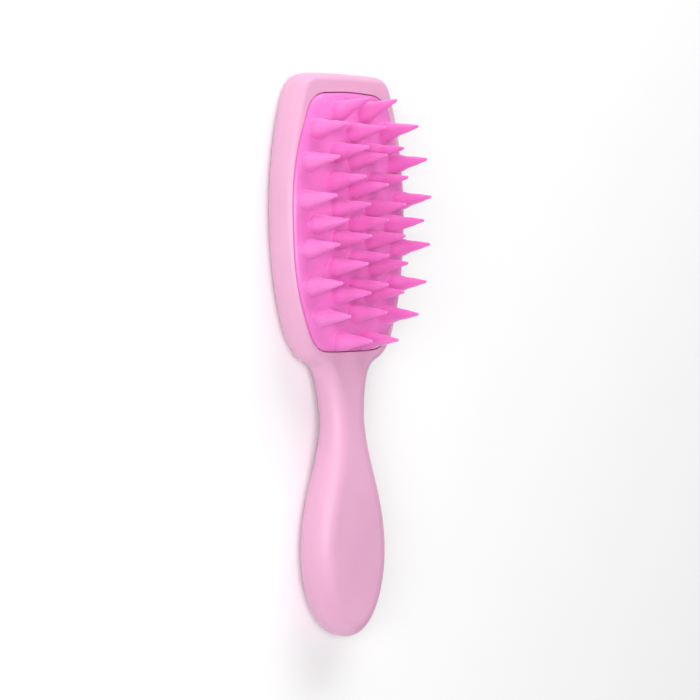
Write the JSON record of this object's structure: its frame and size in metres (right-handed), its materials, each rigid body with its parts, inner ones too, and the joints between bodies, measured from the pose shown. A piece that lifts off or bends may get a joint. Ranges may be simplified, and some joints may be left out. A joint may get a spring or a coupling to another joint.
{
  "type": "scalp massager brush",
  "caption": "Handheld scalp massager brush: hollow paddle body with a rounded handle, and a lift-out soft insert of long cone teeth in its head.",
  "frame": {"origin": "centre of the bounding box's footprint, on the surface that the brush's back rests on", "axes": "+Z is the side with the teeth, +Y points from the handle to the top of the head, +X across the width"},
  "size_m": [0.061, 0.205, 0.0339],
  "materials": {
    "body": "light pink, satin moulded plastic",
    "carrier": "uncoloured moulded plastic",
    "silicone": "hot pink, satin, slightly translucent silicone"
  },
  "bodies": {
    "body": {"front_shell": "body", "back_cover": "body"},
    "insert": {"pad_carrier": "carrier", "tooth_pad": "silicone"}
  },
  "joints": [
    {"name": "insert_lift", "type": "slide", "parent": "body", "child": "insert", "axis": [0, 0, 1], "range_m": [0, 0.01]}
  ]
}
